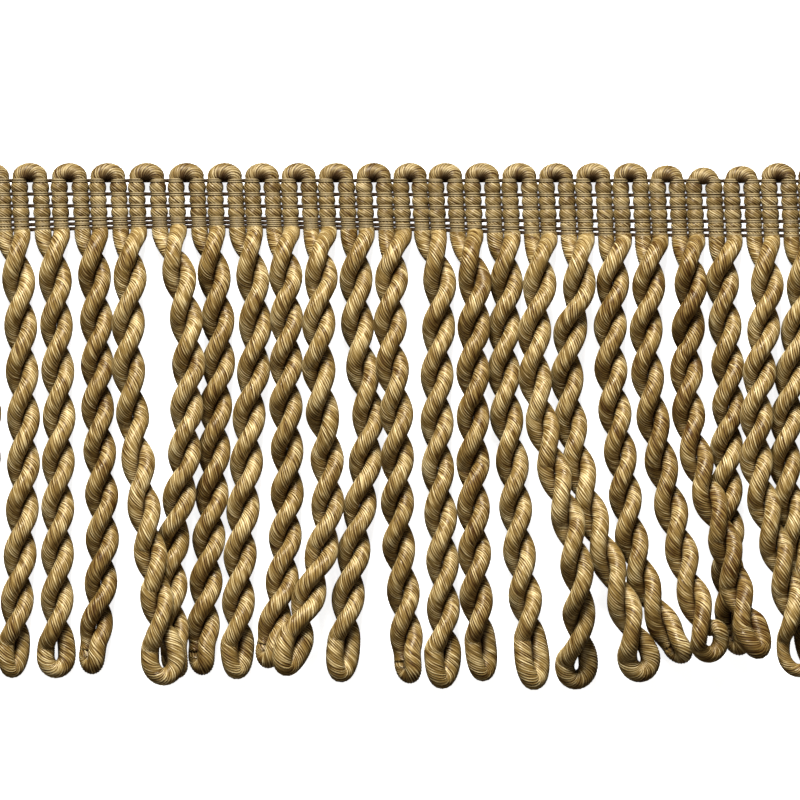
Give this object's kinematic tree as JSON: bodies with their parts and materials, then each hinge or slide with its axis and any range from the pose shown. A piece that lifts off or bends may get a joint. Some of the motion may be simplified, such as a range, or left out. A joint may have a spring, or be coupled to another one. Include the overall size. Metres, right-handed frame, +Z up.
{
  "type": "cord fringe trim",
  "caption": "Cut length of bullion fringe lying flat: a narrow woven heading with arches along its top edge, and a wrapped cord that hangs from it in long loops twisted on themselves",
  "frame": {"origin": "on the surface that the trim lies on, under the middle of its bounding box", "axes": "+X runs along the heading, +Y points from the loops to the arches along the heading's top edge, +Z points up off the surface"},
  "size_m": [0.174, 0.1022, 0.0166],
  "materials": {
    "woven_heading": "old gold cord bound with fine dull threads",
    "twisted_cord": "old gold cord closely wrapped in lustrous yarn, satin sheen"
  },
  "bodies": {
    "root": {"heading": "woven_heading", "fringe": "twisted_cord"}
  },
  "joints": []
}
